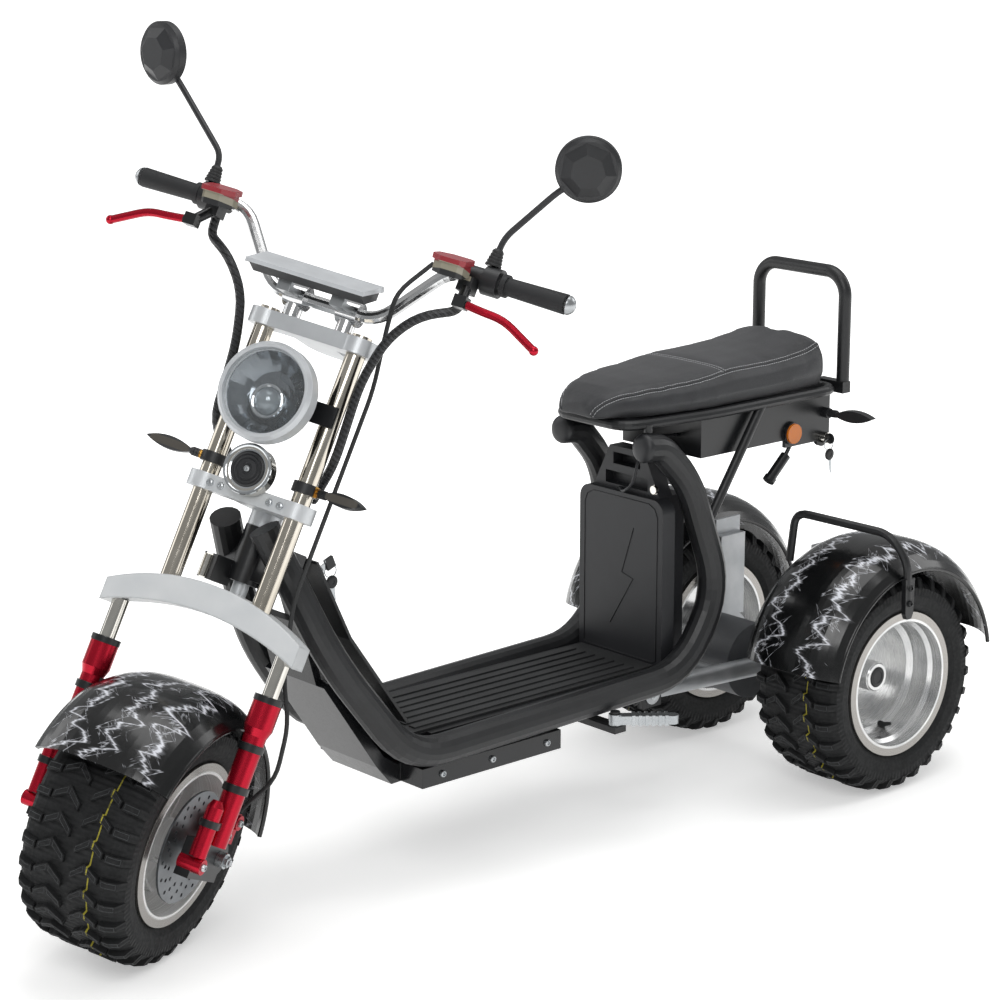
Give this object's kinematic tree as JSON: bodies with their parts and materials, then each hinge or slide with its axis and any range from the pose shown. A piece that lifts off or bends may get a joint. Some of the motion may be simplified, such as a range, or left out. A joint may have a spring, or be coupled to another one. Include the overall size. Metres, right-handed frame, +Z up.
{
  "type": "three-wheeled electric scooter",
  "caption": "Three-wheeled electric scooter with fat off-road tyres, a low floor between bent frame tubes, a raked fork and a long stepped seat.",
  "frame": {"origin": "on the ground at the middle of the trike's length and width, as it is parked", "axes": "+X to the rider's left, +Y to the rear, +Z up"},
  "size_m": [0.8384, 2.0206, 1.4847],
  "materials": {
    "black_frame": "satin",
    "fender_black": "gloss",
    "silver_alloy": "satin",
    "polished_tube": "polished",
    "polished_rim": "polished",
    "red_anodised": "satin",
    "tyre_rubber": "matte",
    "black_rubber": "matte",
    "black_plastic": "matte",
    "seat_cover": "matte",
    "bright_steel": "satin",
    "dark_steel": "satin"
  },
  "bodies": {
    "frame": {"frame_tube_left": "black_frame", "frame_tube_right": "black_frame", "head_tube": "black_frame", "floor_pan": "black_frame", "floor_mat": "black_rubber", "belly_panel": "black_plastic", "leg_shield": "black_frame", "ignition_lock": "bright_steel", "battery_pack": "black_plastic", "seat_rail": "black_frame", "seat": "seat_cover", "grab_rail": "black_frame", "tail_box": "black_frame", "rear_signal_left": "black_plastic", "rear_signal_right": "black_plastic", "swing_arm": "bright_steel", "axle_housing": "bright_steel", "drive_motor": "dark_steel", "rear_fender_left": "fender_black", "rear_fender_right": "fender_black", "fender_guard_left": "black_frame", "fender_guard_right": "black_frame"},
    "steering": {"fork_leg_left": "polished_tube", "fork_leg_right": "polished_tube", "top_clamp": "silver_alloy", "mid_clamp": "silver_alloy", "fork_bridge": "silver_alloy", "fork_lower_left": "red_anodised", "fork_lower_right": "red_anodised", "front_axle": "bright_steel", "brake_caliper": "red_anodised", "front_fender": "fender_black", "headlight": "silver_alloy", "horn": "silver_alloy", "front_signal_left": "black_plastic", "front_signal_right": "black_plastic", "handlebar": "polished_tube", "dash": "silver_alloy", "grip_left": "black_rubber", "grip_right": "black_rubber", "controls_left": "black_plastic", "controls_right": "black_plastic", "mirror_left": "black_plastic", "mirror_right": "black_plastic", "brake_hose": "black_rubber", "harness": "black_plastic"},
    "front_wheel": {"front_tyre": "tyre_rubber", "front_rim": "polished_rim", "brake_disc": "dark_steel"},
    "rear_wheel_left": {"rear_tyre_left": "tyre_rubber", "rear_rim_left": "polished_rim"},
    "rear_wheel_right": {"rear_tyre_right": "tyre_rubber", "rear_rim_right": "polished_rim"},
    "peg_left": {"footpeg_left": "silver_alloy"},
    "peg_right": {"footpeg_right": "silver_alloy"}
  },
  "joints": [
    {"name": "steering_turn", "type": "hinge", "parent": "frame", "child": "steering", "pos_m": [0, -0.52715, 0.6306], "axis": [0, 0.4602, 0.8878], "range_deg": [-62, 10]},
    {"name": "front_wheel_spin", "type": "hinge", "parent": "steering", "child": "front_wheel", "pos_m": [0.01973, -0.78396, 0.22306], "axis": [0.8988, 0.3892, -0.2017], "continuous": true},
    {"name": "rear_wheel_left_spin", "type": "hinge", "parent": "frame", "child": "rear_wheel_left", "pos_m": [0.241, 0.75, 0.215], "axis": [1, 0, 0], "continuous": true},
    {"name": "rear_wheel_right_spin", "type": "hinge", "parent": "frame", "child": "rear_wheel_right", "pos_m": [-0.241, 0.75, 0.215], "axis": [1, 0, 0], "continuous": true},
    {"name": "peg_left_fold", "type": "hinge", "parent": "frame", "child": "peg_left", "pos_m": [0.172, 0.15, 0.228], "axis": [0, 0, 1], "range_deg": [-50, 25]},
    {"name": "peg_right_fold", "type": "hinge", "parent": "frame", "child": "peg_right", "pos_m": [-0.172, 0.15, 0.228], "axis": [0, 0, 1], "range_deg": [-25, 50]}
  ]
}
